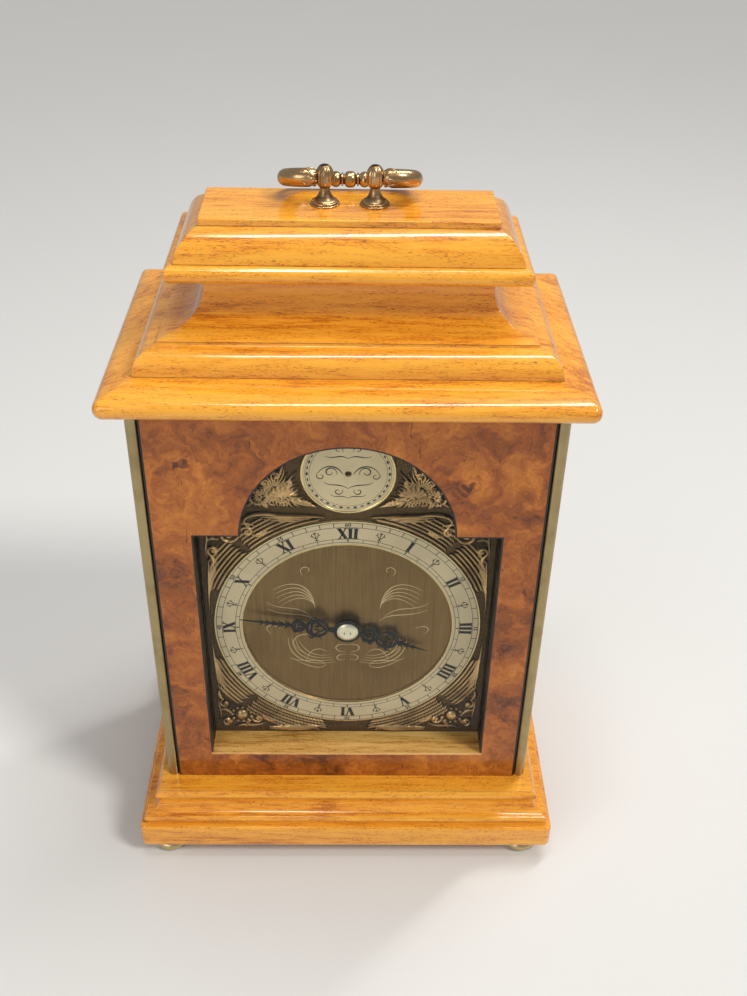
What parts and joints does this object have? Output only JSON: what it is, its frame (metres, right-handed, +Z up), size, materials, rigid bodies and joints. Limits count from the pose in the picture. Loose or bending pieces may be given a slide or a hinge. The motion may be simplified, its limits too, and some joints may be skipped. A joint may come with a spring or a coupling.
{
  "type": "bracket clock",
  "caption": "Small break-arch bracket timepiece with a caddy top, bail handle, brass dial, glazed rear door and a rear-wound lever movement",
  "frame": {"origin": "centre of the footprint, on the surface that the feet stand on", "axes": "+Z up, the dial faces -Y, +X to the right as seen from the front"},
  "size_m": [0.1686, 0.1124, 0.2759],
  "materials": {
    "walnut": "glossy polish over straight grained wood",
    "walnut_side": "glossy polish, darker side grain",
    "burr_walnut": "burr veneer, semi-gloss",
    "ebonised": "blacked, satin",
    "clear_glass": "clear",
    "column_brass": "satin, dulled",
    "handle_brass": "polished with darker hollows",
    "fitting_brass": "polished",
    "casting_brass": "antiqued casting",
    "dial_brass": "brushed and lacquered",
    "silvered": "silvered brass, matt",
    "movement_brass": "fine turned",
    "steel": "polished",
    "blacked_steel": "blacked"
  },
  "bodies": {
    "case": {"arch_disc": "silvered", "arch_disc_rim": "casting_brass", "arch_spandrels": "casting_brass", "back_plate": "movement_brass", "balance_bridge": "movement_brass", "bell_cove": "walnut", "bun_feet": "handle_brass", "caddy_cushion": "walnut", "caddy_slab": "walnut", "chapter_ring": "silvered", "corner_columns": "column_brass", "corner_spandrels": "casting_brass", "corner_strips": "ebonised", "cornice_board": "walnut", "cornice_ovolo": "walnut", "dial_feet": "movement_brass", "dial_plate": "dial_brass", "dial_sill": "walnut", "front_mask": "burr_walnut", "front_plate": "movement_brass", "glass_retainer": "ebonised", "hairspring": "steel", "handle_posts": "handle_brass", "hinge_case_leaves": "fitting_brass", "hinge_pins": "fitting_brass", "plate_pillars": "movement_brass", "plinth_moulding": "walnut", "plinth_slab": "walnut", "rear_frame": "walnut_side", "reveal_lining": "ebonised", "seat_board": "walnut_side", "side_panels": "walnut_side", "top_panel": "walnut", "turn_button_stud": "fitting_brass", "viewing_glass": "clear_glass"},
    "minute_arbor": {"centre_arbor": "steel", "cannon_pinion": "steel", "minute_hand": "blacked_steel", "hand_nut": "fitting_brass", "setting_knob": "movement_brass"},
    "hour_pipe": {"hour_wheel": "movement_brass", "hour_hand": "blacked_steel"},
    "motion_wheel": {"minute_wheel": "movement_brass"},
    "barrel": {"mainspring_barrel": "movement_brass"},
    "intermediate": {"intermediate_wheel": "movement_brass"},
    "centre": {"centre_wheel": "movement_brass"},
    "third": {"third_wheel": "movement_brass"},
    "fourth": {"fourth_wheel": "movement_brass"},
    "escape": {"escape_wheel": "movement_brass"},
    "lever": {"pallet_lever": "steel"},
    "balance": {"balance_wheel": "movement_brass"},
    "winder": {"winding_arbor": "steel", "ratchet_wheel": "steel"},
    "click_arm": {"click": "steel"},
    "door": {"rear_door": "walnut_side", "rear_door_glass": "clear_glass", "hinge_door_leaves": "fitting_brass", "door_knob": "fitting_brass"},
    "door_button": {"turn_button": "fitting_brass"},
    "bail_handle": {"bail": "handle_brass"}
  },
  "joints": [
    {"name": "hand_setting", "type": "hinge", "parent": "case", "child": "minute_arbor", "pos_m": [0, -0.0035, 0.1033], "axis": [0, 1, 0], "continuous": true},
    {"name": "hour_pipe_turn", "type": "hinge", "parent": "case", "child": "hour_pipe", "pos_m": [0, -0.0035, 0.1033], "axis": [0, 1, 0], "continuous": true},
    {"name": "minute_wheel_turn", "type": "hinge", "parent": "case", "child": "motion_wheel", "pos_m": [0.012, -0.0035, 0.1033], "axis": [0, 1, 0], "continuous": true},
    {"name": "fourth_wheel_turn", "type": "hinge", "parent": "case", "child": "fourth", "pos_m": [-0.0019, -0.0035, 0.12431], "axis": [0, 1, 0], "continuous": true},
    {"name": "third_wheel_turn", "type": "hinge", "parent": "case", "child": "third", "pos_m": [-0.01145, -0.0035, 0.11475], "axis": [0, 1, 0], "continuous": true},
    {"name": "centre_wheel_turn", "type": "hinge", "parent": "case", "child": "centre", "pos_m": [0, -0.0035, 0.1033], "axis": [0, 1, 0], "continuous": true},
    {"name": "intermediate_wheel_turn", "type": "hinge", "parent": "case", "child": "intermediate", "pos_m": [-0.01154, -0.0035, 0.09176], "axis": [0, 1, 0], "continuous": true},
    {"name": "barrel_turn", "type": "hinge", "parent": "case", "child": "barrel", "pos_m": [0, -0.0035, 0.07094], "axis": [0, 1, 0], "continuous": true},
    {"name": "escape_wheel_turn", "type": "hinge", "parent": "case", "child": "escape", "pos_m": [0.0035, -0.0035, 0.13367], "axis": [0, 1, 0], "continuous": true},
    {"name": "lever_rock", "type": "hinge", "parent": "case", "child": "lever", "pos_m": [0.00951, -0.0035, 0.13585], "axis": [0, 1, 0], "range_deg": [-5, 5]},
    {"name": "balance_swing", "type": "hinge", "parent": "case", "child": "balance", "pos_m": [0.01684, -0.0035, 0.13852], "axis": [0, 1, 0], "range_deg": [-135, 135]},
    {"name": "winding", "type": "hinge", "parent": "case", "child": "winder", "pos_m": [0, -0.0035, 0.07094], "axis": [0, 1, 0], "continuous": true},
    {"name": "click_drop", "type": "hinge", "parent": "case", "child": "click_arm", "pos_m": [0.0078, -0.0035, 0.08024], "axis": [0, -1, 0], "range_deg": [0, 6]},
    {"name": "door_hinge", "type": "hinge", "parent": "case", "child": "door", "pos_m": [0.0502, 0.0431, 0.1195], "axis": [0, 0, -1], "range_deg": [0, 110]},
    {"name": "button_turn", "type": "hinge", "parent": "case", "child": "door_button", "pos_m": [-0.0565, 0.0425, 0.1195], "axis": [0, 1, 0], "range_deg": [0, 90]},
    {"name": "bail_hinge", "type": "hinge", "parent": "case", "child": "bail_handle", "pos_m": [0, -0.0052, 0.2719], "axis": [1, 0, 0], "range_deg": [0, 217]}
  ],
  "couplings": [
    {"joint": "hour_pipe_turn", "follows": "hand_setting", "ratio": 0.083333},
    {"joint": "minute_wheel_turn", "follows": "hand_setting", "ratio": -0.33333},
    {"joint": "third_wheel_turn", "follows": "fourth_wheel_turn", "ratio": -0.13333},
    {"joint": "centre_wheel_turn", "follows": "fourth_wheel_turn", "ratio": 0.016667},
    {"joint": "intermediate_wheel_turn", "follows": "fourth_wheel_turn", "ratio": -0.0033333},
    {"joint": "barrel_turn", "follows": "fourth_wheel_turn", "ratio": 0.00055556},
    {"joint": "escape_wheel_turn", "follows": "fourth_wheel_turn", "ratio": -8}
  ]
}
